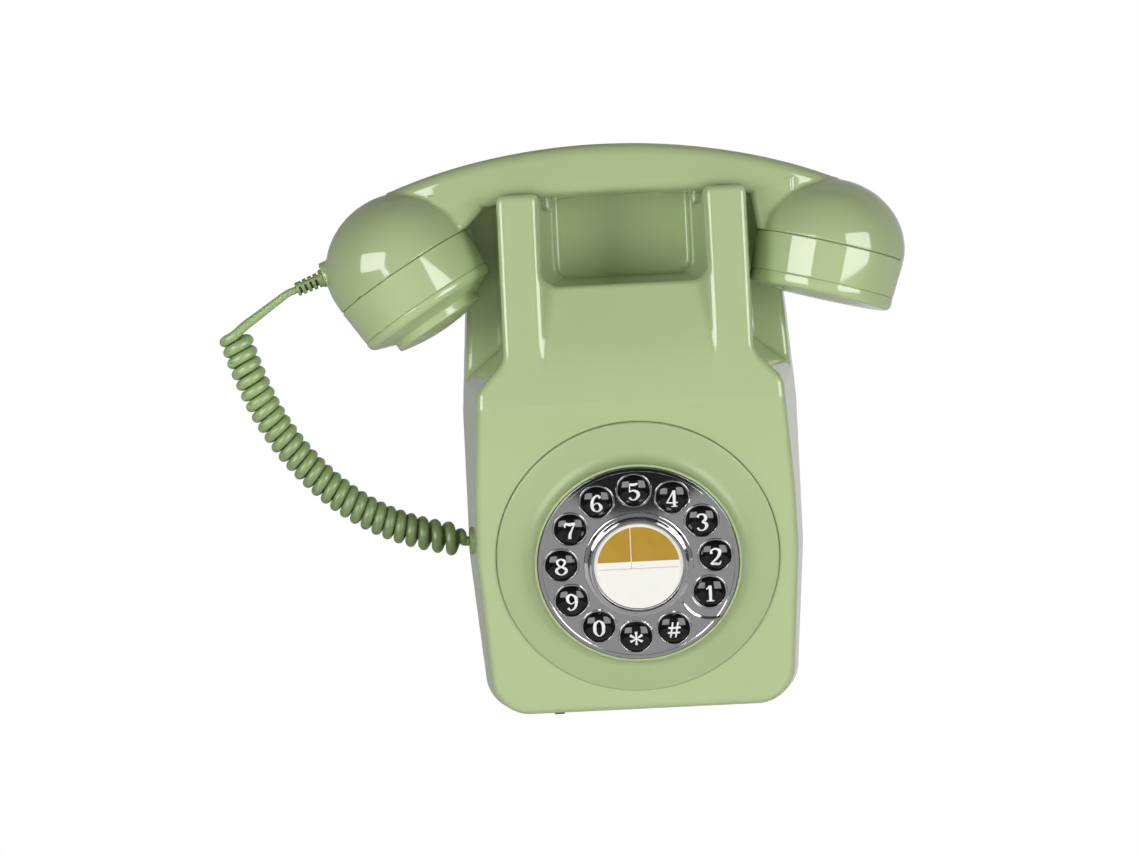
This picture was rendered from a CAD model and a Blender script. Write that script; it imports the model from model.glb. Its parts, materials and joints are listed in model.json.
import json
from math import acos, asin, atan2, cos, hypot, pi, radians, sin, sqrt, tan, tau

import bmesh
import bpy
import numpy as np
from mathutils import Matrix, Vector


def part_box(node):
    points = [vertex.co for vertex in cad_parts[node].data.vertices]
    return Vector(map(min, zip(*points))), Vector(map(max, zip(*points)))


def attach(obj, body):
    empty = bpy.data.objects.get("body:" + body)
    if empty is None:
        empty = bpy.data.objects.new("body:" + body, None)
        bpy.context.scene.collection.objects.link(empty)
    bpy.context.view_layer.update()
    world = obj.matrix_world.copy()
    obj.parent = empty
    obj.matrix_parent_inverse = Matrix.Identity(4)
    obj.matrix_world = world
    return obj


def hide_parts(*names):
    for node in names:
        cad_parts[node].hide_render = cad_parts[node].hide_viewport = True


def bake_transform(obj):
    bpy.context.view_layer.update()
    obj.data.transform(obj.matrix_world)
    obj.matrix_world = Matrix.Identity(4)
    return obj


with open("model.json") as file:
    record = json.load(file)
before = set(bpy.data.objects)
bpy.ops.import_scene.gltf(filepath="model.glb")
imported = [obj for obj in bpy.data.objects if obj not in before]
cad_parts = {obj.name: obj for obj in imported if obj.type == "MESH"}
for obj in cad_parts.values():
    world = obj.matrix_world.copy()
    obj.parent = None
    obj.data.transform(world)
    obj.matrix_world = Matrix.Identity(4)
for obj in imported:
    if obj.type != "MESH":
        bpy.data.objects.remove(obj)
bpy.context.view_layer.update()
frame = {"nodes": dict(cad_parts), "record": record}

# Sizes are in millimetres, and MM turns them into the scene's metres. Lamps and finishes are in metres.
MM = 0.001

# Case
CASE_W, FOOT_W, CROWN_W = 136.8, 128.0, 126.0
CASE_TOP, CASE_BOTTOM = 106.0, 109.5
CREASE_D, CREASE_Z = 84.0, 14.0
FACE_TILT, HORN_LEAN = radians(16.7), radians(6.2)
SIDE_DRAFT, BOTTOM_DRAFT = radians(4.6), radians(2.4)
SHOULDER_Z, SHOULDER_IN = -22.0, 1.85
CORNER_R = 14.0
WALL = 2.5
WAIST_Z = -45.0
SIDE_BLEND_R, CREASE_R, FRONT_EDGE_R = 60.0, 5.0, 2.6
KNOB_TRAVEL = 5.0

# Cradle: horns, notches beside them, finger pocket between them
HORN_IN, HORN_OUT, HORN_OUT_BACK = 33.0, 48.6, 50.0
HORN_TOP, CRADLE_Z = 97.5, 92.5
CRADLE_BACK, CRADLE_FRONT = 35.9, 64.1
NOTCH_BACK = 17.5
NOTCH_FRONT_Z, NOTCH_BACK_Z = 32.0, 40.0
NOTCH_FRONT_FALL, NOTCH_BACK_FALL = tan(radians(45)), tan(radians(38))
POCKET_BACK, POCKET_BACK_W = 24.0, 54.0
SHELF_Z, SHELF_BACK_Z, SHELF_D = 60.0, 66.0, 72.0
PANEL_Z, PANEL_SPLAY = 32.5, 0.5
NOTCH_FILLET_R, NOTCH_BACK_R, NOTCH_EDGE_R = 2.4, 2.0, 2.3
POCKET_FILLET_R, POCKET_BACK_R, POCKET_EDGE_R, PANEL_R = 6.0, 1.5, 2.0, 1.6
CRADLE_FILLET_R, CRADLE_EDGE_R, HORN_TOP_R = 1.5, 1.6, 2.6
PLUNGER_BORE_R = 3.56

# Dial
DIAL_Z = -46.5
RING_R, RING_RISE, RING_SEAT, COVE_R = 55.6, 8.0, 1.0, 5.2
PLATE_R, PLATE_T = 39.4, 2.0
PLATE_TOP = RING_RISE + 0.2
KEY_CIRCLE, KEY_R, KEY_RISE = 30.2, 6.0, 2.4
KEY_TRAVEL, KEY_GAP, KEY_FLANGE_T, KEY_WALL = 1.6, 0.3, 1.6, 0.5
KEY_START, KEY_STEP = -25.2, 29.1
KEY_BEVEL, KEY_DOME_R, NUMERAL_H = 0.5, 9.0, 6.9
KEYS = ["1", "2", "3", "4", "5", "6", "7", "8", "9", "0", "star", "hash"]
BEZEL_R, LABEL_R, BEZEL_RISE = 21.4, 17.4, 4.2
BEZEL_HOLE_R = LABEL_R - 1.4
LABEL_TOP = PLATE_TOP + BEZEL_RISE - 1.4
CARD_T, WINDOW_T = 0.4, 1.2
STOP_ARC_R, STOP_START, STOP_END = 11.2, radians(201), radians(290)

# Handset
HANDSET_D = 50.0
HANDLE_D, HANDLE_TOP, HANDLE_BOTTOM = 27.0, 116.8, 97.4
HANDLE_TOP_R, HANDLE_BOTTOM_R, HANDLE_SHIFT = 252.0, 430.0, -6.4
HANDLE_LEFT, HANDLE_RIGHT = -92.0, 86.0
HANDLE_EDGE_R = 5.0
CUP_R, COLLAR_H, COLLAR_TAPER = 29.8, 15.2, 1.0
COLLAR_T, COLLAR_HOLE_R = 2.2, 19.4
CAP_R, COLLAR_BORE = CUP_R - COLLAR_TAPER, CUP_R - COLLAR_T - COLLAR_TAPER
CAP_T, SKIRT_IN, SKIRT_OUT, SKIRT_H = 2.2, 24.4, 26.4, 7.0
MOUTH_AT, MOUTH_TURN = (-86.8, -HANDSET_D, 70.4), radians(180 - 31.5)
EAR_AT, EAR_TURN = (82.0, -HANDSET_D, 72.5), radians(180 + 15.2)
MOUTH_DOME, EAR_DOME = (4.5, 26.8), (0.0, 26.8)
MOUTH_CAP_H, EAR_CAP_H = 12.4, 5.2
LIP_R, LIP_H, LIP_DOME = 19.2, 3.2, 2.4
CAP_EDGE_R, CAP_SLOPE = 3.0, radians(20)
MOUTH_WEB_X, EAR_WEB_X, WEB_HALF = -54.5, 51.2, 12.5
COVER_LEFT, COVER_RIGHT, COVER_HALF, COVER_TOP = -50.0, 44.0, 9.3, 100.2
SEAM, SEAM_EDGE, SEAM_EDGE_R = 0.25, 0.35, 0.3

# Cord: free tail from the boot, middle line of the curls, then the gland
CORD_D, CURL_R, CURLS, RINGS_PER_CURL = 3.8, 4.6, 28, 16
CORD_FULLER, TAIL_THINNER, TAIL_RUN = 0.22, 0.5, 26.0
BOOT_AT, BOOT_TURN, BOOT_LEN = (-118.1, -HANDSET_D, 70.0), radians(21), 12.8
BOOT_PITCH, BOOT_SEAT_R, BOOT_SEAT_H = 2.3, 6.0, 0.95
GLAND_D, GLAND_Z, GLAND_REACH = 30.0, -38.0, 1.2
TAIL = [(-139.5, -50, 60.2), (-145.5, -50.2, 56), (-151.3, -50.4, 52)]
CURL_LINE = [
    (-156, -46, 48.5), (-151.2, -44.9, 33.3), (-145.3, -42.8, 18.6), (-137.4, -40.7, 4.9),
    (-127.6, -38.6, -7.5), (-116.1, -36.4, -18.3), (-102.9, -34.3, -27), (-88, -32.2, -33.2),
    (-69.4, -30.2, -37.9),
]

# Back plate's screws
SCREW_LOW_X, SCREW_LOW_Z = FOOT_W / 2 - 14, -84
SCREW_HIGH_X, SCREW_HIGH_Z = CROWN_W / 2 - 6, 66

# Studio: the reflection cards' walls, the floor and the light levels
STUDIO_HALF_W, STUDIO_HALF_H, STUDIO_TOP = 2600, 2000, 1250
STUDIO_FRONT, STUDIO_BACK = -2700, 420
FLOOR_HALF, FLOOR_Z, FLOOR_GLOW = 600.0, -420.0, 0.6
AMBIENT = 0.14
WHITE = (1, 1, 1, 1)

# Camera, as in the photograph: frontal, level and a little rolled
CAMERA_AT, CAMERA_SHIFT = (-10.0, -1550.0, 5.6), (-0.0318, -0.00153)
CAMERA_ROLL = radians(-2.75)
CAMERA_LENS, SENSOR_W = 119.4, 36.0


def face_d(z):
    return CREASE_D - (CREASE_Z - z) * tan(FACE_TILT)


def horn_d(z):
    return CREASE_D - (z - CREASE_Z) * tan(HORN_LEAN)


ON_DIAL = Matrix.Translation((0, -face_d(DIAL_Z), DIAL_Z)) @ Matrix.Rotation(pi / 2 + FACE_TILT, 4, "X")
AT_MOUTH = Matrix.Translation(MOUTH_AT) @ Matrix.Rotation(MOUTH_TURN, 4, "Y")
AT_EAR = Matrix.Translation(EAR_AT) @ Matrix.Rotation(EAR_TURN, 4, "Y")
GLAND_WALL = Vector((GLAND_D * tan(SIDE_DRAFT) - CASE_W / 2, -GLAND_D, GLAND_Z))
GLAND_OUT = Vector((-cos(SIDE_DRAFT), -sin(SIDE_DRAFT), 0))
GLAND_TURN = Matrix.Rotation(SIDE_DRAFT, 4, "Z") @ Matrix.Rotation(-pi / 2, 4, "Y")
AT_GLAND = Matrix.Translation(GLAND_WALL) @ GLAND_TURN
BOOT_OUT = Vector((-cos(BOOT_TURN), 0, -sin(BOOT_TURN)))
AT_BOOT = Matrix.Translation(BOOT_AT) @ Matrix.Rotation(pi * 1.5 - BOOT_TURN, 4, "Y")


def key_matrix(i):
    a = radians(KEY_START + i * KEY_STEP)
    return ON_DIAL @ Matrix.Translation((KEY_CIRCLE * cos(a), KEY_CIRCLE * sin(a), 0))


# Materials
def set_inputs(node, values):
    for key, value in values.items():
        node.inputs[key].default_value = value


def add_node(tree, kind, **values):
    """A new shader node, with values for some of its inputs."""
    node = tree.nodes.new("ShaderNode" + kind)
    set_inputs(node, values)
    return node


def join(tree, a, output, b, into):
    tree.links.new(a.outputs[output], b.inputs[into])


def new_material(name, color, roughness, metallic=0.0, specular=0.5):
    m = bpy.data.materials.new(name)
    m.use_nodes = True
    m.diffuse_color = (*color, 1)
    shader = m.node_tree.nodes["Principled BSDF"]
    set_inputs(shader, {"Base Color": (*color, 1), "Roughness": roughness, "Metallic": metallic})
    set_inputs(shader, {"Specular IOR Level": specular})
    return m, m.node_tree, shader


def object_noise(tree, scale, detail=3.0):
    coords = add_node(tree, "TexCoord")
    noise = add_node(tree, "TexNoise", Scale=scale, Detail=detail)
    join(tree, coords, "Object", noise, "Vector")
    return noise


def color_ramp(tree, low, high):
    ramp = add_node(tree, "ValToRGB")
    for element, color in zip(ramp.color_ramp.elements, (low, high)):
        element.color = (*color, 1)
    return ramp


def vary_color(tree, shader, dark, light, scale, into="Base Color"):
    """Colour that drifts softly between two near shades."""
    noise = object_noise(tree, scale)
    ramp = color_ramp(tree, dark, light)
    ramp.color_ramp.elements[0].position = 0.3
    ramp.color_ramp.elements[1].position = 0.7
    join(tree, noise, "Fac", ramp, "Fac")
    join(tree, ramp, "Color", shader, into)


def vary_roughness(tree, shader, low, high, scale):
    noise = object_noise(tree, scale, 5.0)
    span = add_node(tree, "MapRange")
    set_inputs(span, {"To Min": low, "To Max": high})
    join(tree, noise, "Fac", span, "Value")
    join(tree, span, "Result", shader, "Roughness")


def add_bump(tree, shader, scale, strength, distance):
    noise = object_noise(tree, scale)
    bump = add_node(tree, "Bump", Strength=strength, Distance=distance)
    join(tree, noise, "Fac", bump, "Height")
    join(tree, bump, "Normal", shader, "Normal")


def scaled(color, k):
    return tuple(c * k for c in color)


def plain_finish(name, color, roughness, metallic=0.0, scale=60.0, spread=0.06, grain=0.0, specular=0.5):
    m, tree, shader = new_material(name, color, roughness, metallic, specular)
    vary_color(tree, shader, scaled(color, 1 - spread), scaled(color, 1 + spread), scale)
    vary_roughness(tree, shader, roughness * 0.85, min(1.0, roughness * 1.2), scale * 3)
    if grain:
        add_bump(tree, shader, 900.0, grain, 0.0002)
    return m


GREEN = (0.395, 0.480, 0.252)
CORD_LOW_GREEN, CORD_HIGH_GREEN = (0.145, 0.198, 0.078), (0.29, 0.39, 0.165)


def cord_finish():
    """Green plastic that pales towards the handset."""
    m, tree, shader = new_material("cord_green_plastic", CORD_LOW_GREEN, 0.34)
    coords = add_node(tree, "TexCoord")
    split = add_node(tree, "SeparateXYZ")
    height = add_node(tree, "MapRange")
    set_inputs(height, {"From Min": -0.040, "From Max": 0.025})
    ramp = color_ramp(tree, CORD_LOW_GREEN, CORD_HIGH_GREEN)
    join(tree, coords, "Object", split, "Vector")
    join(tree, split, "Z", height, "Value")
    join(tree, height, "Result", ramp, "Fac")
    join(tree, ramp, "Color", shader, "Base Color")
    vary_roughness(tree, shader, 0.29, 0.4, 270.0)
    return m


FINISH = {
    "shell_green": plain_finish("moulded_green_plastic", GREEN, 0.07, scale=25, spread=0.015),
    "cord_green": cord_finish(),
    "chrome": plain_finish("bright_chrome", (0.62, 0.62, 0.63), 0.05, 1.0, scale=40, spread=0.03),
    "label_white": plain_finish("label_paper", (0.79, 0.775, 0.73), 0.55, scale=300, spread=0.015),
    "black_gloss": plain_finish(
        "black_button_plastic", (0.004,) * 3, 0.08, scale=80, spread=0.2, specular=0.35),
    "rubber": plain_finish("boot_green_rubber", (0.20, 0.27, 0.105), 0.42, scale=150, grain=0.15),
    "circuit_board": plain_finish("circuit_board", (0.03, 0.20, 0.08), 0.45, scale=200, spread=0.2),
    "steel": plain_finish("zinc_plated_steel", (0.55, 0.56, 0.58), 0.32, 1.0, scale=200, spread=0.1),
    "dark_plastic": plain_finish("dark_plastic", (0.03,) * 3, 0.45, scale=120, spread=0.15, grain=0.2),
    "brass": plain_finish("spun_brass", (0.72, 0.50, 0.20), 0.28, 1.0, scale=120, spread=0.08),
}
HANDSET_GREEN = plain_finish("handset_green_plastic", scaled(GREEN, 0.93), 0.07, scale=25, spread=0.015)
RING_GREEN = plain_finish(
    "ring_green_plastic", scaled(GREEN, 0.87), 0.4, scale=25, spread=0.015, specular=0.25)
NUMERAL_WHITE = plain_finish("numeral_white", (0.70, 0.70, 0.69), 0.4, scale=300.0, spread=0.02)
BOOT_SHADE = plain_finish("boot_shade_rubber", (0.025, 0.033, 0.014), 0.6, scale=150.0, spread=0.1)
LABEL_GOLD = plain_finish("label_gold_print", (0.42, 0.245, 0.02), 0.6, scale=300, spread=0.04, specular=0.1)


def clear_window():
    """Thin clear cover: see-through, with a little gloss."""
    m = bpy.data.materials.new("label_clear_plastic")
    m.use_nodes = True
    tree = m.node_tree
    gloss = add_node(tree, "BsdfGlossy")
    vary_roughness(tree, gloss, 0.03, 0.06, 120.0)
    through = add_node(tree, "BsdfTransparent")
    blend = add_node(tree, "MixShader", Fac=0.03)
    join(tree, through, "BSDF", blend, 1)
    join(tree, gloss, "BSDF", blend, 2)
    join(tree, blend, "Shader", tree.nodes["Material Output"], "Surface")
    tree.nodes.remove(tree.nodes["Principled BSDF"])
    return m


FINISH["clear"] = clear_window()


# Mesh helpers
def box_of(node):
    return [np.array(corner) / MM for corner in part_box(node)]


def show(o):
    bpy.context.scene.collection.objects.link(o)


def make_object(name, verts, faces, matrix=None, sharp_deg=32.0, outward=True):
    """A mesh object at the origin, in metres, from points in millimetres."""
    mesh = bpy.data.meshes.new(name)
    mesh.from_pydata([tuple(v) for v in verts], [], [tuple(int(i) for i in f) for f in faces])
    bm = bmesh.new()
    bm.from_mesh(mesh)
    if matrix is not None:
        bmesh.ops.transform(bm, matrix=matrix, verts=bm.verts)
    bmesh.ops.scale(bm, vec=(MM, MM, MM), verts=bm.verts)
    if outward:
        bmesh.ops.recalc_face_normals(bm, faces=bm.faces)
    shade(bm, sharp_deg)
    bm.to_mesh(mesh)
    bm.free()
    o = bpy.data.objects.new(name, mesh)
    show(o)
    return o


def shade(bm, sharp_deg):
    """Smooth faces, with the edges sharper than an angle kept crisp."""
    limit = radians(sharp_deg)
    for f in bm.faces:
        f.smooth = True
    for e in bm.edges:
        e.smooth = len(e.link_faces) == 2 and e.calc_face_angle(0) < limit


def finish_piece(o, body, slot, replaces=(), material=None):
    o.data.materials.clear()
    o.data.materials.append(material or FINISH[slot])
    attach(o, body)
    if replaces:
        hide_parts(*replaces)


def rounded(corners, steps=5):
    """Outline points from corners (r, h, rounding)."""
    points = []
    count = len(corners)
    for i, (x, y, rounding) in enumerate(corners):
        p = Vector((x, y))
        if rounding <= 0:
            points.append((x, y))
            continue
        a = Vector(corners[i - 1][:2]) - p
        b = Vector(corners[(i + 1) % count][:2]) - p
        room = 0.49 * min(a.length, b.length)
        a.normalize()
        b.normalize()
        half = acos(max(-1, min(1, a.dot(b)))) / 2
        t = min(rounding / tan(half), room)
        r = t * tan(half)
        middle = p + (a + b).normalized() * (r / sin(half))
        first = p + a * t - middle
        last = p + b * t - middle
        start = atan2(first.y, first.x)
        turn = (atan2(last.y, last.x) - start + pi) % (2 * pi) - pi
        for k in range(steps + 1):
            angle = start + turn * k / steps
            points.append((middle.x + r * cos(angle), middle.y + r * sin(angle)))
    return points


def turned(profile, segments=128):
    """Points and faces of a closed outline (r, h) turned about Z."""
    verts, rows, faces = [], [], []
    for r, h in profile:
        if r < 1e-6:
            rows.append([len(verts)])
            verts.append((0, 0, h))
            continue
        rows.append(list(range(len(verts), len(verts) + segments)))
        angles = [2 * pi * i / segments for i in range(segments)]
        verts += [(r * cos(a), r * sin(a), h) for a in angles]
    for a, b in zip(rows, rows[1:] + rows[:1]):
        if len(a) == 1 and len(b) == 1:
            continue
        for i in range(segments):
            j = (i + 1) % segments
            if len(a) == 1:
                faces.append((a[0], b[i], b[j]))
            elif len(b) == 1:
                faces.append((a[i], b[0], a[j]))
            else:
                faces.append((a[i], b[i], b[j], a[j]))
    return verts, faces


def turned_object(name, corners, matrix, segments=128, steps=5):
    verts, faces = turned(rounded(corners, steps), segments)
    return make_object(name, verts, faces, matrix)


def cylinder(name, r, low, high, matrix, segments):
    return turned_object(name, [(0, low, 0), (r, low, 0), (r, high, 0), (0, high, 0)], matrix, segments)


def boxed(low, high):
    (x0, y0, z0), (x1, y1, z1) = low, high
    verts = [(x, y, z) for z in (z0, z1) for y in (y0, y1) for x in (x0, x1)]
    faces = [(0, 2, 3, 1), (4, 5, 7, 6), (0, 1, 5, 4), (2, 6, 7, 3), (0, 4, 6, 2), (1, 3, 7, 5)]
    return verts, faces


def swept_faces(rows, n):
    """Faces of a closed sweep: rows of n points each, with both ends capped."""
    faces = [(k * n + i, k * n + (i + 1) % n, (k + 1) * n + (i + 1) % n, (k + 1) * n + i)
             for k in range(rows - 1) for i in range(n)]
    return faces + [tuple(range(n)), tuple((rows - 1) * n + i for i in range(n - 1, -1, -1))]


def unit(v):
    return v / np.maximum(np.linalg.norm(v, axis=-1, keepdims=True), 1e-9)


def add_part(verts, faces, more_verts, more_faces):
    start = len(verts)
    verts += more_verts
    faces += [tuple(start + i for i in f) for f in more_faces]


def apply_modifiers(o):
    bpy.context.view_layer.update()
    graph = bpy.context.evaluated_depsgraph_get()
    mesh = bpy.data.meshes.new_from_object(o.evaluated_get(graph))
    o.modifiers.clear()
    old = o.data
    o.data = mesh
    bpy.data.meshes.remove(old)


def drop(o):
    mesh = o.data
    bpy.data.objects.remove(o)
    bpy.data.meshes.remove(mesh)


def cut(o, cutter, operation="DIFFERENCE"):
    mod = o.modifiers.new("cut", "BOOLEAN")
    mod.operation = operation
    mod.solver = "MANIFOLD"
    mod.object = cutter
    apply_modifiers(o)
    drop(cutter)


def reshade(o, sharp_deg=32.0):
    bm = bmesh.new()
    bm.from_mesh(o.data)
    shade(bm, sharp_deg)
    bm.to_mesh(o.data)
    bm.free()


# Smooth forms: a form is negative inside, and its surface is meshed from a grid
def round_max(a, b, r, bend=pi / 2):
    """Inside both, with the edge between them rounded to radius r, where the surface bends by an angle."""
    c = cos(bend)
    a_in, b_in = a + r, b + r
    corner = np.sqrt(np.maximum(a_in ** 2 + b_in ** 2 - 2 * c * a_in * b_in, 0)) / sin(bend) - r
    return np.where((a_in > c * b_in) & (b_in > c * a_in), corner, np.maximum(a, b))


def round_min(a, b, r, bend=pi / 2):
    """Inside either, with a fillet of radius r between them."""
    return -round_max(-a, -b, r, bend)


def slopes(form, p, reach=0.02):
    g = np.empty_like(p)
    for k in range(3):
        step = np.zeros(3)
        step[k] = reach
        g[:, k] = (form(*(p + step).T) - form(*(p - step).T)) / (2 * reach)
    return g


def settle(form, p, rounds=4, limit=1.0):
    """Pulls points onto the form's surface."""
    for _ in range(rounds):
        g = slopes(form, p)
        move = form(*p.T)[:, None] * g / np.maximum((g * g).sum(1), 1e-6)[:, None]
        size = np.linalg.norm(move, axis=1, keepdims=True)
        p = p - move * np.minimum(1, limit / np.maximum(size, 1e-9))
    return p


def form_surface(form, low, high, step):
    """Points and quads over a form's surface, one point per grid cell that it passes through."""
    axes = [np.arange(a - step, b + 2 * step, step) for a, b in zip(low, high)]
    inside = form(*np.meshgrid(*axes, indexing="ij")) < 0
    wide, deep, tall = (count - 1 for count in inside.shape)
    corners = sum(
        inside[i:i + wide, j:j + deep, k:k + tall].astype(np.int8)
        for i in (0, 1) for j in (0, 1) for k in (0, 1)
    )
    mixed = (corners > 0) & (corners < 8)
    index = np.full(mixed.shape, -1)
    index[mixed] = np.arange(mixed.sum())
    points = np.argwhere(mixed) * step + np.array([a[0] for a in axes]) + step / 2
    quads = []
    for axis in range(3):
        side = np.moveaxis(inside, axis, 0)
        cells = np.moveaxis(index, axis, 0)
        before, after = side[:-1, 1:-1, 1:-1], side[1:, 1:-1, 1:-1]
        p, q, r = np.nonzero(before != after)
        quad = np.stack([cells[p, q, r], cells[p, q + 1, r], cells[p, q + 1, r + 1], cells[p, q, r + 1]], 1)
        flip = before[p, q, r] == (axis == 1)
        quad[flip] = quad[flip][:, ::-1]
        quads.append(quad)
    return settle(form, points.astype(float), limit=step), np.concatenate(quads)


def is_closed(o):
    bm = bmesh.new()
    bm.from_mesh(o.data)
    closed = all(e.is_manifold for e in bm.edges)
    bm.free()
    return closed


def form_object(name, form, low, high, step, keep):
    """A form as a closed mesh object, thinned where it is flat to a share of its faces."""
    for shift in (0, 0.17, 0.31, 0.43, 0.59, 0.73):
        points, quads = form_surface(form, np.array(low) - shift * step, high, step)
        o = make_object(name, points, quads, outward=False)
        thin = o.modifiers.new("thin", "DECIMATE")
        thin.ratio = keep
        apply_modifiers(o)
        if is_closed(o):
            return o
        drop(o)
    raise RuntimeError(name + " isn't closed")


def true_normals(o, form):
    """Shades the faces along a form with its own slopes, and leaves the other faces flat."""
    mesh = o.data
    points = np.empty(len(mesh.vertices) * 3)
    mesh.vertices.foreach_get("co", points)
    slope = unit(slopes(form, points.reshape(-1, 3) / MM, 0.05))
    corner = np.empty(len(mesh.loops), int)
    mesh.loops.foreach_get("vertex_index", corner)
    sides = np.empty(len(mesh.polygons), int)
    mesh.polygons.foreach_get("loop_total", sides)
    flat = np.empty(len(mesh.polygons) * 3)
    mesh.polygons.foreach_get("normal", flat)
    flat = np.repeat(flat.reshape(-1, 3), sides, axis=0)
    along = (slope[corner] * flat).sum(1, keepdims=True)
    mesh.polygons.foreach_set("use_smooth", np.ones(len(mesh.polygons), bool))
    normals = np.where(np.abs(along) > 0.5, slope[corner] * np.sign(along), flat)
    mesh.normals_split_custom_set(normals.tolist())


# Case
def mix(a, b, f):
    return a + (b - a) * f


def case_outside(x, y, z):
    """The case as a solid, reaching behind the wall."""
    d, across = -y, np.abs(x)
    drift = d * tan(SIDE_DRAFT)
    low_slope = (CASE_W - FOOT_W) / 2 / (WAIST_Z + CASE_BOTTOM - CORNER_R)
    draw = SHOULDER_IN * d / CREASE_D
    straight = (across - CASE_W / 2 + drift) * cos(SIDE_DRAFT)
    foot = straight + (WAIST_Z - z) * low_slope
    shoulder = straight + draw * (z - SHOULDER_Z) / (CREASE_Z - SHOULDER_Z)
    crown_in = (CASE_W - CROWN_W) / 2 - draw
    crown = straight + draw + (z - CREASE_Z) * crown_in / (CASE_TOP - CORNER_R - CREASE_Z)
    side = round_max(round_max(straight, foot, SIDE_BLEND_R, low_slope), shoulder, SIDE_BLEND_R, 0.04)
    side = round_max(side, crown, SIDE_BLEND_R, 0.05)
    bottom = (d * tan(BOTTOM_DRAFT) - CASE_BOTTOM - z) * cos(BOTTOM_DRAFT)
    outline = round_max(round_max(side, bottom, CORNER_R), z - CASE_TOP, CORNER_R)
    face = (d - CREASE_D + (CREASE_Z - z) * tan(FACE_TILT)) * cos(FACE_TILT)
    horns = (d - CREASE_D + (z - CREASE_Z) * tan(HORN_LEAN)) * cos(HORN_LEAN)
    front = round_max(face, horns, CREASE_R, FACE_TILT + HORN_LEAN)
    body = round_max(outline, front, FRONT_EDGE_R)

    f = (d - NOTCH_BACK) / (horn_d(NOTCH_FRONT_Z) - NOTCH_BACK)
    horn_face = mix(HORN_OUT_BACK, HORN_OUT, f) - across
    fall = np.maximum(mix(NOTCH_BACK_FALL, NOTCH_FRONT_FALL, f), 0)
    floor = (mix(NOTCH_BACK_Z, NOTCH_FRONT_Z, f) + horn_face * fall - z) / np.sqrt(1 + fall * fall)
    notch = round_max(round_max(horn_face, floor, NOTCH_FILLET_R), NOTCH_BACK - d, NOTCH_BACK_R)
    body = round_max(body, -notch, NOTCH_EDGE_R)

    f = (d - POCKET_BACK) / (horn_d(SHELF_Z) - POCKET_BACK)
    pocket_side = across - mix(POCKET_BACK_W / 2, HORN_IN, f)
    pocket_floor = (mix(SHELF_BACK_Z, SHELF_Z, f) - z) * 0.99
    pocket = round_max(pocket_side, pocket_floor, POCKET_FILLET_R)
    pocket = round_max(pocket, POCKET_BACK - d, POCKET_BACK_R)
    lean = (horn_d(PANEL_Z) - SHELF_D) / (SHELF_Z - PANEL_Z)
    panel_front = (horn_d(PANEL_Z) - (z - PANEL_Z) * lean - d) / hypot(1, lean)
    panel_side = (across - HORN_IN + PANEL_SPLAY * (horn_d(z) - d)) / hypot(1, PANEL_SPLAY)
    panel = round_max(panel_front, panel_side, PANEL_R)
    body = round_max(body, -round_min(pocket, panel, PANEL_R), POCKET_EDGE_R)

    groove = np.maximum(CRADLE_BACK - d, d - CRADLE_FRONT)
    groove = round_max(groove, CRADLE_Z - z, CRADLE_FILLET_R)
    above_horns = np.maximum(CRADLE_FRONT - 2 - d, HORN_TOP - z)
    return round_max(round_max(body, -above_horns, HORN_TOP_R), -groove, CRADLE_EDGE_R)


def case_skin(x, y, z):
    outside = case_outside(x, y, z)
    return np.maximum(np.maximum(outside, -(outside + WALL)), y)


def make_case():
    half = CASE_W / 2
    o = form_object(
        "case_body", case_skin, (-half, -CREASE_D, -CASE_BOTTOM), (half, 0, CASE_TOP), 0.9, 0.42)
    cut(o, cylinder("dial_hole", RING_R + SEAM, -12, 12, ON_DIAL, 192))
    for node, grow, room in (("line_socket", SEAM, 0.0), ("ringer_switch_knob", 0.3, KNOB_TRAVEL)):
        low, high = box_of(node)
        window = boxed(
            (low[0] - grow, low[1] - grow, -CASE_BOTTOM - 3),
            (high[0] + grow + room, high[1] + grow, -CASE_BOTTOM + 4))
        cut(o, make_object("window", *window))
    for side in ("left", "right"):
        low, high = box_of("hook_plunger_" + side)
        middle = (low + high) / 2
        place = Matrix.Translation((middle[0], middle[1], 0))
        cut(o, cylinder("bore", PLUNGER_BORE_R, CRADLE_Z - 6, CRADLE_Z + 6, place, 48))
    true_normals(o, case_outside)
    finish_piece(o, "base", "shell_green", ["case_shell"])


# Handset
def handle_low(x):
    return HANDLE_BOTTOM - HANDLE_BOTTOM_R + np.sqrt(np.maximum(HANDLE_BOTTOM_R ** 2 - x * x, 1))


def handle_form(x, y, z):
    half = (HANDLE_RIGHT - HANDLE_LEFT) / 2
    middle = (HANDLE_RIGHT + HANDLE_LEFT) / 2
    share = np.clip((np.abs(x - middle) / half - 0.62) / 0.38, 0, 1)
    width = HANDLE_D / 2 * np.sqrt(1 - 0.72 * share * share)
    top = HANDLE_TOP - HANDLE_TOP_R + np.sqrt(np.maximum(HANDLE_TOP_R ** 2 - (x - HANDLE_SHIFT) ** 2, 1))
    low = handle_low(x)
    r = np.minimum(HANDLE_EDGE_R, 0.45 * (top - low))
    a = np.abs(y + HANDSET_D) - width + r
    b = np.abs(z - (top + low) / 2) - (top - low) / 2 + r
    section = np.hypot(np.maximum(a, 0), np.maximum(b, 0)) + np.minimum(np.maximum(a, b), 0) - r
    return np.maximum(section, np.abs(x - middle) - half)


def in_place(x, y, z, place):
    """Distance from a place's axis, and height along it."""
    inverse = np.array(place.inverted())
    a, b, c = (inverse[k, 0] * x + inverse[k, 1] * y + inverse[k, 2] * z + inverse[k, 3] for k in range(3))
    return np.hypot(a, b), c


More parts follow.
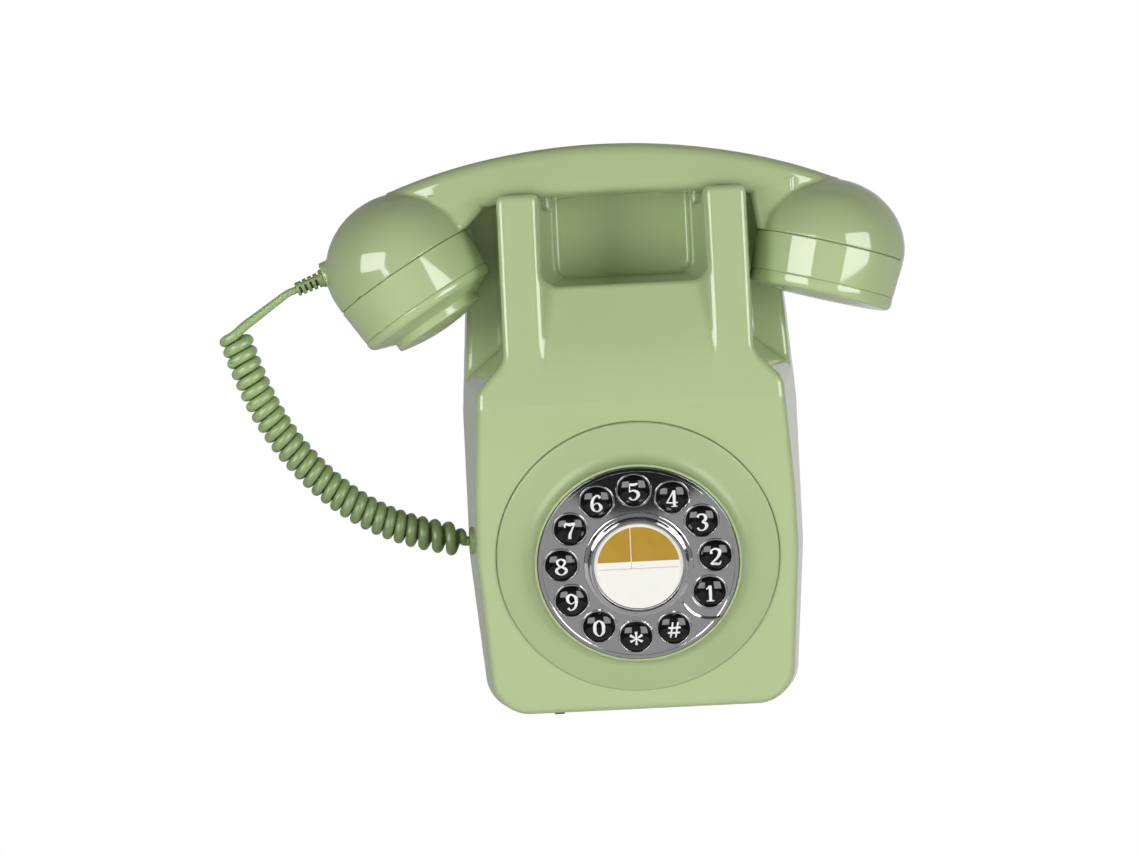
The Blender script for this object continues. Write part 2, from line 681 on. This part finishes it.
def dome_form(x, y, z, place, dome):
    rho, height = in_place(x, y, z, place)
    h = np.minimum(height + dome[0], 0)
    k0 = np.maximum(np.hypot(rho / CUP_R, h / dome[1]), 1e-6)
    k1 = np.maximum(np.hypot(rho / CUP_R ** 2, h / dome[1] ** 2), 1e-9)
    return k0 * (k0 - 1) / k1, height


def web_form(x, y, z, at, turn, side, top_x):
    """Web in the corner between the handle's underside and a cup, down to the cup's seam."""
    foot_x, foot_z = at[0] + side * CUP_R * cos(turn), at[2] + CUP_R * sin(turn)
    rise = float(handle_low(top_x)) - 1 - foot_z
    run = (top_x - foot_x) * side
    slant = (rise * (x - foot_x) * side - run * (z - foot_z)) / hypot(run, rise)
    edge = round_max(slant, (x - top_x) * side, 2.0, atan2(run, rise))
    front = np.abs(y + HANDSET_D) - WEB_HALF
    top = z - float(handle_low(top_x)) - 5
    inner = (foot_x - 14 * side - x) * side
    return np.maximum(round_max(edge, front, 3.0), np.maximum(top, inner))


def handset_form(x, y, z):
    mouth, mouth_h = dome_form(x, y, z, AT_MOUTH, MOUTH_DOME)
    ear, ear_h = dome_form(x, y, z, AT_EAR, EAR_DOME)
    mouth_web = web_form(x, y, z, MOUTH_AT, pi - MOUTH_TURN, 1, MOUTH_WEB_X)
    ear_web = web_form(x, y, z, EAR_AT, EAR_TURN - pi, -1, EAR_WEB_X)
    handle = round_min(round_min(handle_form(x, y, z), mouth_web, 0.6), ear_web, 0.6)
    rho, height = in_place(x, y, z, AT_BOOT)
    boss = np.maximum(round_max(rho - BOOT_SEAT_R, height - BOOT_SEAT_H, 0.5), -8 - height)
    whole = round_min(round_min(round_min(handle, mouth, 1.2), ear, 1.2), boss, 0.5)
    cuts = np.where(x < 0, mouth_h, ear_h) + SEAM / 2
    return round_max(whole, np.where(np.minimum(mouth, ear) < 8, cuts, -9.0), 0.4)


def make_handset():
    low, high = box_of("handset_shell")
    o = form_object("handset_body", handset_form, low - 4, high + 2, 0.85, 0.6)
    cover = o.copy()
    cover.data = o.data.copy()
    cover.name = cover.data.name = "handle_underside"
    show(cover)
    for piece, gap, operation in ((o, SEAM / 2, "DIFFERENCE"), (cover, -SEAM / 2, "INTERSECT")):
        half = COVER_HALF + gap
        block = boxed(
            (COVER_LEFT - gap, -HANDSET_D - half, HANDLE_BOTTOM - 12),
            (COVER_RIGHT + gap, -HANDSET_D + half, COVER_TOP + gap))
        cut(piece, make_object("cover_block", *block), operation)
        true_normals(piece, handset_form)
    finish_piece(o, "handset", "shell_green", ["handset_shell"], HANDSET_GREEN)
    finish_piece(cover, "handset", "shell_green", ["handle_cover"], HANDSET_GREEN)


def make_collar(name, place, node):
    o = turned_object(name, [
        (COLLAR_BORE, COLLAR_T, 0), (COLLAR_HOLE_R, COLLAR_T, 0), (COLLAR_HOLE_R, 0, 0),
        (CUP_R - SEAM_EDGE, 0, SEAM_EDGE_R), (CUP_R, SEAM_EDGE, SEAM_EDGE_R),
        (CAP_R, COLLAR_H - SEAM_EDGE, SEAM_EDGE_R), (CAP_R - SEAM_EDGE, COLLAR_H, SEAM_EDGE_R),
        (COLLAR_BORE, COLLAR_H, 0)], place)
    finish_piece(o, "handset", "shell_green", [node])


def scatter_tree():
    """Copies of a shape on a mesh's points, made real, with one finish."""
    tree = bpy.data.node_groups.new("copies_on_points", "GeometryNodeTree")
    tree.is_modifier = True
    for label, kind in (("Geometry", "NodeSocketGeometry"), ("Shape", "NodeSocketObject"),
                        ("Finish", "NodeSocketMaterial")):
        tree.interface.new_socket(label, in_out="INPUT", socket_type=kind)
    tree.interface.new_socket("Geometry", in_out="OUTPUT", socket_type="NodeSocketGeometry")
    inputs = tree.nodes.new("NodeGroupInput")
    info = tree.nodes.new("GeometryNodeObjectInfo")
    points = tree.nodes.new("GeometryNodeInstanceOnPoints")
    real = tree.nodes.new("GeometryNodeRealizeInstances")
    finish = tree.nodes.new("GeometryNodeSetMaterial")
    output = tree.nodes.new("NodeGroupOutput")
    for a, b in (
        (inputs.outputs["Geometry"], points.inputs["Points"]),
        (inputs.outputs["Shape"], info.inputs["Object"]),
        (info.outputs["Geometry"], points.inputs["Instance"]),
        (points.outputs["Instances"], real.inputs["Geometry"]),
        (real.outputs["Geometry"], finish.inputs["Geometry"]),
        (inputs.outputs["Finish"], finish.inputs["Material"]),
        (finish.outputs["Geometry"], output.inputs[0]),
    ):
        tree.links.new(a, b)
    return tree


SCATTER = scatter_tree()


def scatter(name, points, shape, material, matrix):
    """One mesh of a shape repeated at points, in a place's own millimetres."""
    o = bpy.data.objects.new(name, bpy.data.meshes.new(name))
    o.data.from_pydata([tuple(p) for p in points], [], [])
    show(o)
    mod = o.modifiers.new("copies", "NODES")
    mod.node_group = SCATTER
    given = {"Shape": shape, "Finish": material}
    for item in SCATTER.interface.items_tree:
        if item.name in given:
            mod[item.identifier] = given[item.name]
    apply_modifiers(o)
    o.data.transform(Matrix.Scale(MM, 4) @ matrix)
    drop(shape)
    return o


def unscaled(o):
    """Takes a helper's mesh back to millimetres, for use as a repeated shape."""
    o.data.transform(Matrix.Scale(1 / MM, 4))
    return o


def hole_points(rings, spacing):
    points = [(0.0, 0.0, 0.0)]
    for ring in range(1, rings + 1):
        for i in range(6 * ring):
            a = tau * i / (6 * ring)
            points.append((spacing * ring * cos(a), spacing * ring * sin(a), 0.0))
    return points


def perforate(o, place, height):
    drill = unscaled(cylinder("drill", 1.0, -6, 6, Matrix(), 20))
    holes = scatter("sound_holes", hole_points(2, 3.6), drill, FINISH["shell_green"],
                    place @ Matrix.Translation((0, 0, height)))
    cut(o, holes)
    reshade(o)


def make_caps():
    end = COLLAR_H + MOUTH_CAP_H
    face = end - LIP_DOME - LIP_H
    under = face - CAP_T
    slope_r = CAP_R - CAP_EDGE_R * (1 - sin(CAP_SLOPE))
    edge_h = face - (slope_r - LIP_R) * tan(CAP_SLOPE) - CAP_EDGE_R * cos(CAP_SLOPE)
    edge = [(CAP_R - CAP_EDGE_R * (1 - cos(a)), edge_h + CAP_EDGE_R * sin(a), 0)
            for a in np.linspace(0, pi / 2 - CAP_SLOPE, 8)]
    dome = [(LIP_R * f, end - LIP_DOME * f * f, 0) for f in np.linspace(0.92, 0, 10)]
    skirt = [
        (SKIRT_IN, COLLAR_H - SKIRT_H, 0), (SKIRT_OUT, COLLAR_H - SKIRT_H, 0), (SKIRT_OUT, COLLAR_H, 0),
        (CAP_R - SEAM_EDGE, COLLAR_H, SEAM_EDGE_R), (CAP_R, COLLAR_H + SEAM_EDGE, SEAM_EDGE_R)]
    lip = [(LIP_R, face, 0.8), (LIP_R, face + LIP_H, 0.8)]
    mouth = turned_object("mouthpiece_cap", skirt + edge + lip + dome + [
        (0, under + LIP_H, 0), (LIP_R - CAP_T, under + LIP_H, 0), (LIP_R - CAP_T, under, 0),
        (SKIRT_IN, under - (COLLAR_BORE - LIP_R) * tan(CAP_SLOPE), 0)], AT_MOUTH)
    perforate(mouth, AT_MOUTH, end)
    finish_piece(mouth, "handset", "shell_green", ["mouth_cap"])
    rim = COLLAR_H + EAR_CAP_H
    dish = rim - 2.6
    ear = turned_object("earpiece_cap", [(0, dish - CAP_T, 0), (SKIRT_IN, dish - 1.2, 0)] + skirt + [
        (CAP_R - 0.1, rim, 3.2), (CAP_R - 8, rim - 0.5, 3.0), (8, dish, 8.0), (0, dish, 0)], AT_EAR)
    perforate(ear, AT_EAR, dish)
    finish_piece(ear, "handset", "shell_green", ["ear_cap"])


# Dial
def make_ring():
    """Nearly flat flange that sweeps up to the plate's edge in a cove."""
    seat = PLATE_R + SEAM
    hub = seat + 1
    angles = np.linspace(pi / 2, 0.15, 14)
    cove = [(hub + COVE_R * (1 - cos(a)), RING_RISE - COVE_R * sin(a), 0) for a in angles]
    o = turned_object("dial_surround", [
        (seat, -RING_SEAT, 0), (RING_R, -RING_SEAT, 0), (RING_R, 1.3, 0.9)] + cove + [
        (hub, RING_RISE, 0.4), (seat, RING_RISE, 0.25), (seat, 6.2, 0), (seat - 1.8, 6.2, 0),
        (seat - 1.8, -0.5, 0), (seat, -0.5, 0)], ON_DIAL, 192, 6)
    finish_piece(o, "base", "shell_green", ["dial_ring"], RING_GREEN)


def make_plate():
    bottom = PLATE_TOP - PLATE_T
    o = turned_object("dial_face_plate", [
        (BEZEL_HOLE_R, bottom, 0), (PLATE_R, bottom, 0), (PLATE_R, PLATE_TOP - 0.5, 0.0),
        (PLATE_R - 0.2, PLATE_TOP + 0.12, 0.1), (PLATE_R - 1.5, PLATE_TOP + 0.12, 0.1),
        (PLATE_R - 1.65, PLATE_TOP, 0.05), (BEZEL_HOLE_R, PLATE_TOP, 0)], ON_DIAL, 192, 4)
    hole_r = KEY_R + KEY_GAP
    for i in range(len(KEYS)):
        cut(o, cylinder("key_hole", hole_r, bottom - 2, PLATE_TOP + 2, key_matrix(i), 48))
    reshade(o)
    even = o.modifiers.new("even", "WEIGHTED_NORMAL")
    even.weight = 100
    even.keep_sharp = True
    apply_modifiers(o)
    finish_piece(o, "base", "chrome", ["dial_plate"])
    rim = unscaled(turned_object("rim", [
        (hole_r, -0.1, 0), (hole_r, 0.2, 0.1), (KEY_R + 0.9, 0.2, 0.15), (KEY_R + 1.2, -0.1, 0)],
        Matrix(), 48, 4))
    to_dial = ON_DIAL.inverted()
    points = [(to_dial @ key_matrix(i)).translation + Vector((0, 0, PLATE_TOP)) for i in range(len(KEYS))]
    rims = scatter("button_hole_rims", points, rim, FINISH["chrome"], ON_DIAL)
    reshade(rims)
    finish_piece(rims, "base", "chrome")


def make_finger_stop():
    """Curved ridge on the plate, round the first button on its side away from the second."""
    section = rounded([(-0.75, -0.1, 0), (0.75, -0.1, 0), (0.5, 1.4, 0.45), (-0.5, 1.4, 0.45)], 3)
    steps = 20
    verts = []
    for i in range(steps + 1):
        t = i / steps
        angle = mix(STOP_START, STOP_END, t)
        out = Vector((cos(angle), sin(angle), 0))
        slim = 0.4 + 0.6 * sin(pi * mix(0.1, 0.9, t)) ** 0.5
        verts += [out * (STOP_ARC_R + p * slim) + Vector((0, 0, PLATE_TOP + h * slim)) for p, h in section]
    o = make_object("finger_stop", verts, swept_faces(steps + 1, len(section)), key_matrix(0), 50)
    finish_piece(o, "base", "chrome")


def make_bezel():
    top = PLATE_TOP + BEZEL_RISE
    boss_r, bore_r, under = BEZEL_HOLE_R - 0.06, BEZEL_HOLE_R - 2, PLATE_TOP - PLATE_T
    o = turned_object("label_surround", [
        (bore_r, under, 0), (boss_r, under, 0), (boss_r, PLATE_TOP, 0), (BEZEL_R, PLATE_TOP, 0),
        (BEZEL_R, PLATE_TOP + 1.2, 0.4), (LABEL_R + 2.3, PLATE_TOP + 1.5, 0.3),
        (LABEL_R + 1.9, top - 0.2, 0.6), (LABEL_R + 1.0, top, 0.5), (LABEL_R + SEAM, top - 0.1, 0.1),
        (LABEL_R + SEAM, LABEL_TOP - CARD_T, 0), (bore_r, LABEL_TOP - CARD_T, 0)], ON_DIAL, 160, 6)
    finish_piece(o, "base", "chrome", ["label_bezel"])


def print_patch(name, outline, lift, material):
    """A thin printed patch on the label, from a flat outline."""
    top = LABEL_TOP + lift
    verts = [(x, y, z) for z in (top - 0.04, top) for x, y in outline]
    o = make_object(name, verts, swept_faces(2, len(outline)), ON_DIAL)
    finish_piece(o, "base", "label_white", (), material)


def bar(x0, y0, x1, y1):
    return [(x0, y0), (x1, y0), (x1, y1), (x0, y1)]


def make_label():
    low = LABEL_TOP - CARD_T
    card = turned_object("label_paper_disc", [
        (0, low, 0), (LABEL_R, low, 0), (LABEL_R, LABEL_TOP, 0.05), (0, LABEL_TOP, 0)], ON_DIAL)
    finish_piece(card, "base", "label_white", ["label_card"])
    r, chord, divide = LABEL_R - 1.3, 1.9, -2.8
    limit = asin(chord / r)
    arc = [(r * cos(a), r * sin(a)) for a in np.linspace(limit, pi - limit, 48)]
    print_patch("label_gold_part", arc, 0.03, LABEL_GOLD)
    line_y, line_half = -0.95, 15.4
    divider = bar(divide - 0.15, chord, divide + 0.15, r * 0.98)
    print_patch("label_divider", divider, 0.05, FINISH["label_white"])
    print_patch("label_divider_foot", bar(divide - 0.08, line_y, divide + 0.08, chord), 0.03, LABEL_GOLD)
    print_patch("label_line", bar(-line_half, line_y - 0.09, line_half, line_y + 0.09), 0.05, LABEL_GOLD)
    bottom, rise = LABEL_TOP + 0.2, LABEL_TOP + WINDOW_T
    window = turned_object("label_window_disc", [
        (0, bottom, 0), (LABEL_R, bottom, 0), (LABEL_R, rise - 0.5, 0.2), (LABEL_R * 0.6, rise - 0.2, 6.0),
        (0, rise - 0.1, 0)], ON_DIAL)
    finish_piece(window, "base", "clear", ["label_window"])


# Strokes of each figure: points (x, y, width) in hundredths of its height
GLYPHS = {
    "1": [[(3, 95, 17), (3, 6, 17)], [(-20, 76, 5), (-8, 84, 8), (2, 95, 10)],
          [(-20, 3, 7), (26, 3, 7)]],
    "2": [[(-24, 70, 16), (-22, 88, 10), (0, 97, 9), (22, 86, 17), (22, 66, 18),
           (5, 42, 13), (-16, 22, 10), (-28, 6, 10)],
          [(-26, 8, 14), (0, 8, 16), (20, 6, 14), (29, 24, 5)]],
    "3": [[(-23, 80, 15), (-15, 94, 9), (5, 97, 9), (20, 86, 16), (20, 68, 16), (0, 54, 7)],
          [(0, 54, 7), (22, 44, 16), (25, 24, 18), (10, 5, 10), (-12, 3, 9), (-25, 18, 15)]],
    "4": [[(10, 97, 6), (-30, 28, 7)], [(-32, 27, 8), (32, 27, 8)],
          [(12, 97, 17), (12, 4, 17)], [(-6, 3, 6), (29, 3, 6)]],
    "5": [[(-20, 93, 12), (5, 92, 14), (24, 97, 8)], [(-20, 95, 6), (-24, 52, 6)],
          [(-24, 52, 5), (-5, 60, 9), (20, 50, 16), (25, 28, 18), (10, 6, 10),
           (-12, 3, 8), (-25, 17, 15)]],
    "6": [[(22, 82, 15), (8, 97, 8), (-16, 82, 13), (-26, 50, 17), (-22, 20, 16),
           (0, 3, 8), (20, 14, 16), (23, 34, 17), (8, 54, 8), (-10, 50, 6), (-22, 36, 5)]],
    "7": [[(-29, 72, 5), (-25, 92, 10), (0, 89, 17), (28, 94, 9)],
          [(28, 94, 6), (10, 60, 10), (-2, 30, 16), (-3, 4, 18)]],
    "8": [[(0, 97, 7), (20, 86, 13), (18, 68, 12), (0, 54, 9), (-18, 68, 12),
           (-20, 86, 13), (0, 97, 7)],
          [(0, 54, 9), (24, 40, 15), (26, 20, 16), (0, 3, 7), (-26, 20, 16),
           (-24, 40, 14), (0, 54, 9)]],
    "0": [[(0, 97, 6), (21, 78, 16), (25, 50, 19), (21, 22, 16), (0, 3, 6),
           (-21, 22, 16), (-25, 50, 19), (-21, 78, 16), (0, 97, 6)]],
    "star": [[(0, 50, 5), (40 * cos(a), 50 + 40 * sin(a), 16)]
             for a in [radians(30 + 60 * k) for k in range(6)]],
    "hash": [[(-22, 4, 9), (-6, 96, 9)], [(8, 4, 9), (24, 96, 9)],
             [(-36, 35, 11), (34, 35, 11)], [(-32, 65, 11), (38, 65, 11)]],
}
GLYPHS["9"] = [[(-x, 100 - y, w) for x, y, w in stroke] for stroke in GLYPHS["6"]]


def smooth_run(points, per_span):
    """Points on a smooth curve through given points."""
    p = np.array(points, float)
    ends = np.vstack([2 * p[0] - p[1], p, 2 * p[-1] - p[-2]])
    run = []
    for k in range(len(p) - 1):
        a, b, c, d = ends[k:k + 4]
        second, third = 2 * a - 5 * b + 4 * c - d, 3 * b - a - 3 * c + d
        for u in np.arange(per_span) / per_span:
            run.append(0.5 * (2 * b + (c - a) * u + second * u ** 2 + third * u ** 3))
    run.append(p[-1])
    return np.array(run)


def numeral(name, key, height, top, matrix):
    """White figure laid over a domed button, one closed ribbon for each stroke."""
    verts, faces = [], []
    for level, stroke in enumerate(GLYPHS[key]):
        run = smooth_run(np.array(stroke) / 100, 6)
        heading = unit(np.gradient(run[:, :2], axis=0))
        aside = np.stack([-heading[:, 1], heading[:, 0]], 1)
        ribbon = []
        raised = 0.07 + 0.004 * level
        for (x, y, w), (sx, sy) in zip(run, aside):
            for side, lift in ((-1, raised), (1, raised), (1, -0.15), (-1, -0.15)):
                px = (x + side * sx * w / 2) * height
                py = (y - 0.5 + side * sy * w / 2) * height
                sag = KEY_DOME_R - sqrt(KEY_DOME_R ** 2 - px * px - py * py)
                ribbon.append((px, py, top - sag + lift))
        add_part(verts, faces, ribbon, swept_faces(len(run), 4))
    return make_object(name, verts, faces, matrix)


def make_buttons():
    top = PLATE_TOP + KEY_RISE
    flange = PLATE_TOP - PLATE_T - 0.2
    slope = asin((KEY_R - KEY_BEVEL) / KEY_DOME_R)
    angles = np.linspace(slope, 0, 10)
    dome = [(KEY_DOME_R * sin(a), top - KEY_DOME_R * (1 - cos(a)), 0) for a in angles]
    edge = dome[0][1] - KEY_BEVEL
    under, hollow_r = flange - KEY_FLANGE_T, KEY_R - KEY_WALL
    hollow = under + KEY_TRAVEL + KEY_GAP
    for i, key in enumerate(KEYS):
        place = key_matrix(i)
        cap = turned_object("button_cap_" + key, [
            (0, hollow, 0), (hollow_r, hollow, 0), (hollow_r, under, 0), (KEY_R + 1, under, 0),
            (KEY_R + 1, flange, 0), (KEY_R, flange, 0), (KEY_R, edge, 0.25)] + dome, place, 64, 5)
        finish_piece(cap, "key_" + key, "black_gloss", ["button_" + key])
        figure = numeral("numeral_" + key, key, NUMERAL_H, top, place)
        finish_piece(figure, "key_" + key, "label_white", (), NUMERAL_WHITE)


# Cord, gland and boot
def cord_path():
    """Middle line of the cord from the gland to the boot, in millimetres."""
    count = CURLS * RINGS_PER_CURL
    line = smooth_run(CURL_LINE, 200)
    axis = line[np.round(np.linspace(0, len(line) - 1, count + 1)).astype(int)]
    front = np.array([0.0, -1.0, 0.0])
    points = []
    for i in range(count + 1):
        t = unit(axis[min(i + 1, count)] - axis[max(i - 1, 0)])
        n = unit(front - (front @ t) * t)
        b = np.cross(t, n)
        a = tau * i / RINGS_PER_CURL
        size = CURL_R * min(1, (count - i) / (0.45 * RINGS_PER_CURL))
        points.append(axis[i] + size * (cos(a) * n + sin(a) * b))
    tip = Vector(BOOT_AT) + BOOT_OUT * (BOOT_LEN - 0.6)
    tail = [tip, tip + BOOT_OUT * (CORD_D + 0.9)] + [Vector(p) for p in TAIL]
    lead = smooth_run([tuple(p) for p in tail] + [tuple(points[0]), tuple(points[2])], 8)[:-8]
    face = GLAND_WALL + GLAND_OUT * GLAND_REACH
    into = [face, face - GLAND_OUT * 1.0]
    end = smooth_run([tuple(p) for p in [points[-3], points[-1]] + into], 6)[7:-6]
    whole = np.vstack([lead[:-1], np.array(points), end])
    return whole[::-1]


def tube(name, path, radii, sides=14):
    """Closed round tube along a path, with a frame that doesn't twist."""
    verts = []
    last = len(path) - 1
    n = np.array([0.0, 0.0, 1.0])
    for i, (p, r) in enumerate(zip(path, radii)):
        t = unit(path[min(i + 1, last)] - path[max(i - 1, 0)])
        n = unit(n - (n @ t) * t)
        b = np.cross(t, n)
        around = [tau * k / sides for k in range(sides)]
        verts += [p + r * (cos(a) * n + sin(a) * b) for a in around]
    return make_object(name, verts, swept_faces(last + 1, sides), None, 60)


def make_cord():
    path = cord_path()
    steps = np.linalg.norm(np.diff(path, axis=0), axis=1)
    from_gland = np.concatenate([[0], np.cumsum(steps)])
    from_boot = steps.sum() - from_gland
    fuller = CORD_FULLER * np.clip(np.minimum(from_gland - 6, from_boot - 30) / 12, 0, 1)
    thinner = TAIL_THINNER * np.clip(1 - from_boot / TAIL_RUN, 0, 1)
    o = tube("curly_cord", path, CORD_D / 2 + fuller - thinner)
    o.data.materials.append(FINISH["cord_green"])
    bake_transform(o)
    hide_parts("handset_cord")


def make_gland_and_boot():
    gland = turned_object("cord_gland_body", [
        (0, -4.5, 0), (3.6, -4.5, 0), (3.6, 0, 0), (5.6, 0, 0), (5.6, 0.8, 0.4), (4.8, GLAND_REACH, 0.3),
        (2.1, GLAND_REACH, 0.2), (2.1, GLAND_REACH - 0.6, 0), (0, GLAND_REACH - 0.6, 0)], AT_GLAND, 64)
    finish_piece(gland, "base", "rubber", ["cord_gland"])
    tip = BOOT_LEN - 0.3
    core = turned_object("cord_boot_core", [
        (0, -3.7, 0), (2.6, -3.7, 0), (2.6, 0.6, 0), (2.1, 1.2, 0.2), (2.1, tip, 0.2), (0, tip, 0)],
        AT_BOOT, 48)
    finish_piece(core, "handset", "rubber", ["cord_boot"], BOOT_SHADE)
    boot = turned_object("cord_boot_sleeve", [
        (2.0, 1.0, 0), (3.7, 1.0, 0.3), (3.7, 2.0, 0.4), (3.15, 2.6, 0.4), (2.75, BOOT_LEN, 0.5),
        (2.0, BOOT_LEN, 0)], AT_BOOT, 64)
    verts, faces = [], []
    for k in range(4):
        low = 3.7 + BOOT_PITCH * k
        add_part(verts, faces, *boxed((-5, -5, low), (0.5, 5, low + 1)))
        add_part(verts, faces, *boxed((1.7, -5, low - BOOT_PITCH / 2), (5, 5, low + 0.8 - BOOT_PITCH / 2)))
    cut(boot, make_object("boot_slots", verts, faces, AT_BOOT))
    reshade(boot)
    finish_piece(boot, "handset", "rubber")


# Back: cross-slotted screw heads
def make_back_screws():
    rows = ((SCREW_LOW_X, SCREW_LOW_Z), (SCREW_HIGH_X, SCREW_HIGH_Z))
    points = [(side * x, -z, -1.8) for x, z in rows for side in (1, -1)]
    head = turned_object("head", [(0, 0.2, 0), (3.0, 0.2, 0), (3.0, 1.4, 0.5), (0, 1.55, 0)], Matrix(), 40)
    for low, high in (((-2.0, -0.35, 0.8), (2.0, 0.35, 3)), ((-0.35, -2.0, 0.8), (0.35, 2.0, 3))):
        cut(head, make_object("slot", *boxed(low, high)))
    shape = unscaled(head)
    place = Matrix.Rotation(-pi / 2, 4, "X")
    screws = scatter("back_screw_heads", points, shape, FINISH["steel"], place)
    reshade(screws)
    finish_piece(screws, "base", "steel", ["back_plate_screws"])


def dress_frame():
    """Finishes for the solids that stay as they are."""
    for entry in frame["record"]["subparts"]:
        o = frame["nodes"][entry["node"]]
        o.data.materials.clear()
        o.data.materials.append(FINISH[entry["material_slot"]])


def make_camera():
    data = bpy.data.cameras.new("camera")
    data.sensor_fit = "HORIZONTAL"
    data.sensor_width = SENSOR_W
    data.lens = CAMERA_LENS
    data.shift_x, data.shift_y = CAMERA_SHIFT
    camera = bpy.data.objects.new("camera", data)
    place = Matrix.Translation(Vector(CAMERA_AT) * MM)
    camera.matrix_world = place @ Matrix.Rotation(pi / 2, 4, "X") @ Matrix.Rotation(CAMERA_ROLL, 4, "Z")
    show(camera)
    bpy.context.scene.camera = camera


def area_light(name, at, size, power, diffuse):
    """A soft box that faces the object, seen in its shading or in its reflections."""
    data = bpy.data.lights.new(name, "AREA")
    data.shape = "RECTANGLE"
    data.size, data.size_y = size
    data.energy = power
    lamp = bpy.data.objects.new(name, data)
    aim = (Vector((0, -0.05, 0)) - Vector(at)).to_track_quat("-Z", "Y").to_matrix().to_4x4()
    lamp.matrix_world = Matrix.Translation(at) @ aim
    lamp.visible_diffuse = diffuse
    lamp.visible_glossy = not diffuse
    show(lamp)


def make_light():
    area_light("left_box", (-1.05, -1.25, 0.0), (0.75, 0.6), 12, True)
    area_light("right_box", (1.1, -1.2, 0.0), (0.5, 0.6), 11, True)
    area_light("low_fill", (0.0, -2.0, -0.45), (1.6, 0.8), 14.5, True)
    area_light("rear_fill", (0.5, 1.7, 0.5), (1.4, 1.0), 20, True)
    area_light("left_window", (-1.05, -1.25, 0.16), (1.16, 0.8), 25, False)
    area_light("right_window", (1.1, -1.2, 0.12), (1.1, 1.0), 29, False)
    world = bpy.data.worlds.new("studio")
    bpy.context.scene.world = world
    world.use_nodes = True
    tree = world.node_tree
    ambient = tree.nodes["Background"]
    set_inputs(ambient, {"Color": WHITE, "Strength": AMBIENT})
    seen = add_node(tree, "Background", Color=WHITE, Strength=1.0)
    path = add_node(tree, "LightPath")
    shown = path.outputs["Is Camera Ray"]
    for kind in ("Is Glossy Ray", "Is Transmission Ray"):
        either = add_node(tree, "Math")
        either.operation = "MAXIMUM"
        tree.links.new(shown, either.inputs[0])
        join(tree, path, kind, either, 1)
        shown = either.outputs["Value"]
    choose = add_node(tree, "MixShader")
    tree.links.new(shown, choose.inputs["Fac"])
    join(tree, ambient, "Background", choose, 1)
    join(tree, seen, "Background", choose, 2)
    join(tree, choose, "Shader", tree.nodes["World Output"], "Surface")


def lying(x0, x1, y0, y1, z):
    return [(x0, y0, z), (x1, y0, z), (x1, y1, z), (x0, y1, z)]


def upright(x0, x1, y0, y1):
    """Corners of a card that stands over the studio's whole height."""
    low, high = -STUDIO_HALF_H, STUDIO_HALF_H
    return [(x0, y0, low), (x1, y1, low), (x1, y1, high), (x0, y0, high)]


def make_floor():
    corners = lying(-FLOOR_HALF, FLOOR_HALF, -FLOOR_HALF, FLOOR_HALF, FLOOR_Z)
    o = make_object("floor", corners, [(0, 1, 2, 3)])
    m = plain_finish("pale_floor", (0.8, 0.8, 0.79), 0.7, scale=4.0, spread=0.01)
    tree = m.node_tree
    shader = tree.nodes["Principled BSDF"]
    path = add_node(tree, "LightPath")
    paler = add_node(tree, "Math")
    paler.operation = "MULTIPLY"
    paler.inputs[1].default_value = FLOOR_GLOW
    join(tree, path, "Is Camera Ray", paler, 0)
    join(tree, paler, "Value", shader, "Emission Strength")
    set_inputs(shader, {"Emission Color": WHITE})
    o.data.materials.append(m)


def reflection_card(name, corners, level):
    """A studio card outside the view, which only reflections show."""
    o = make_object(name, corners, [(0, 1, 2, 3)])
    m, tree, shader = new_material(name + "_cloth", (0, 0, 0), 1.0, specular=0.0)
    vary_color(tree, shader, (level * 0.97,) * 3, (level * 1.03,) * 3, 2.0, "Emission Color")
    shader.inputs["Emission Strength"].default_value = 1.0
    o.data.materials.append(m)
    o.visible_camera = False
    o.visible_diffuse = False
    o.visible_shadow = False


def make_cards():
    half, front, back = STUDIO_HALF_W, STUDIO_FRONT, STUDIO_BACK
    reflection_card("back_left_card", upright(-half, 0, back, back), 0.36)
    reflection_card("back_right_card", upright(0, half, back, back), 0.60)
    reflection_card("front_card", upright(-half, half, front, front), 0.25)
    reflection_card("top_card", lying(-half, half, front, back, STUDIO_TOP), 0.05)
    reflection_card("left_card", upright(-half, -half, front, back), 0.08)
    reflection_card("right_card", upright(half, half, front, back), 0.08)
    reflection_card("table_card", lying(-200, 330, -950, -380, -418), 0.40)
    reflection_card("table_edge_card", [
        (-9, -631, -412), (18, -631, -412), (558, -1150, -412), (-549, -1150, -412)], 0.02)


make_camera()
make_light()
make_floor()
make_cards()
dress_frame()
make_cord()
make_gland_and_boot()
make_case()
make_handset()
make_collar("mouthpiece_collar", AT_MOUTH, "mouth_collar")
make_collar("earpiece_collar", AT_EAR, "ear_collar")
make_caps()
make_ring()
make_plate()
make_finger_stop()
make_bezel()
make_label()
make_buttons()
make_back_screws()

bpy.context.scene.view_settings.view_transform = "Standard"
